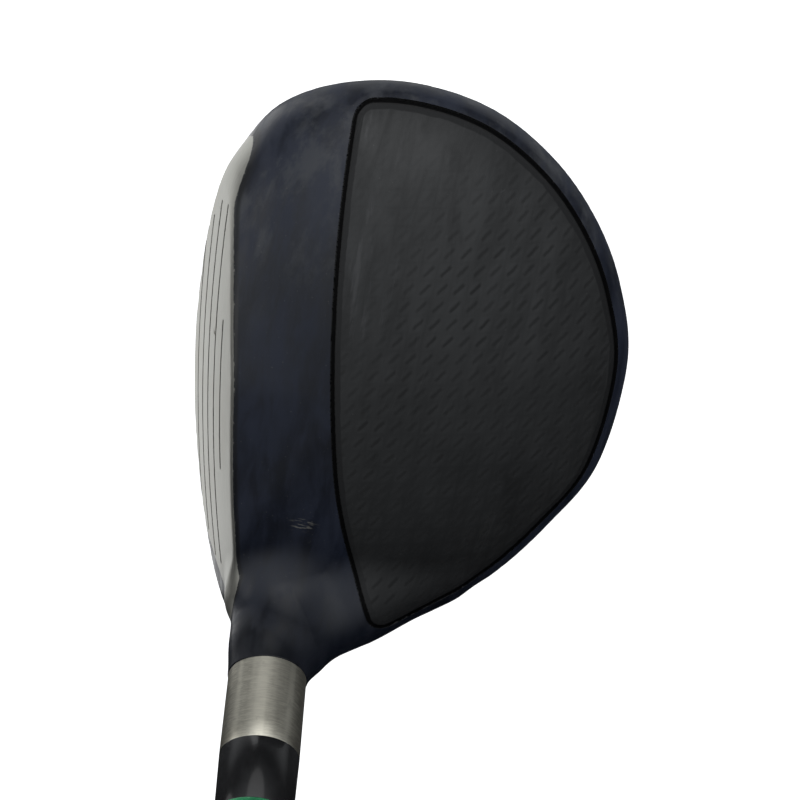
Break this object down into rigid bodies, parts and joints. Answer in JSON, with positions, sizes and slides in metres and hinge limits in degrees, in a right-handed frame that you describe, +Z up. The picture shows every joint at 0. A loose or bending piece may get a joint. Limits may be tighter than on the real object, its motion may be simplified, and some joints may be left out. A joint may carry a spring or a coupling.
{
  "type": "fairway wood golf club",
  "caption": "Right-handed fairway wood: hollow steel head, bonded composite crown, graphite shaft, rubber grip.",
  "frame": {"origin": "where the sole rests on the ground, at the middle of its flat landing area", "axes": "+X from the face to the back of the head, +Y from heel to toe, +Z up with the club soled at address"},
  "size_m": [0.0815, 0.6689, 0.9178],
  "materials": {
    "painted_steel": "gloss dark blue metallic paint",
    "face_steel": "satin blasted",
    "carbon_panel": "satin woven composite",
    "crown_adhesive": "black adhesive",
    "hosel_steel": "lengthwise brushed, bare",
    "port_steel": "machined",
    "weight_steel": "machined satin",
    "glue": "hot-melt glue",
    "ferrule_black": "polished black",
    "ferrule_green": "polished green",
    "shaft_coat": "clear-coated graphite",
    "epoxy": "cured epoxy",
    "plug_plastic": "plain",
    "band_print": "plain green band, no text",
    "tape": "double-sided tape",
    "grip_rubber": "moulded rubber"
  },
  "bodies": {
    "club": {"head_body": "painted_steel", "face_cup": "face_steel", "crown_panel": "carbon_panel", "crown_bond": "crown_adhesive", "hosel_tube": "hosel_steel", "weight_port": "port_steel", "sole_glue_pad": "glue", "ferrule_lower": "ferrule_black", "ferrule_ring": "ferrule_green", "ferrule_upper": "ferrule_black", "shaft": "shaft_coat", "shaft_bond": "epoxy", "tip_plug": "plug_plastic", "shaft_band": "band_print", "grip_tape": "tape", "grip_sleeve": "grip_rubber", "grip_cap": "grip_rubber"},
    "weight": {"weight_screw": "weight_steel"}
  },
  "joints": [
    {"name": "weight_travel", "type": "slide", "parent": "club", "child": "weight", "axis": [0.1564, 0, -0.9877], "range_m": [0, 0.006]}
  ]
}
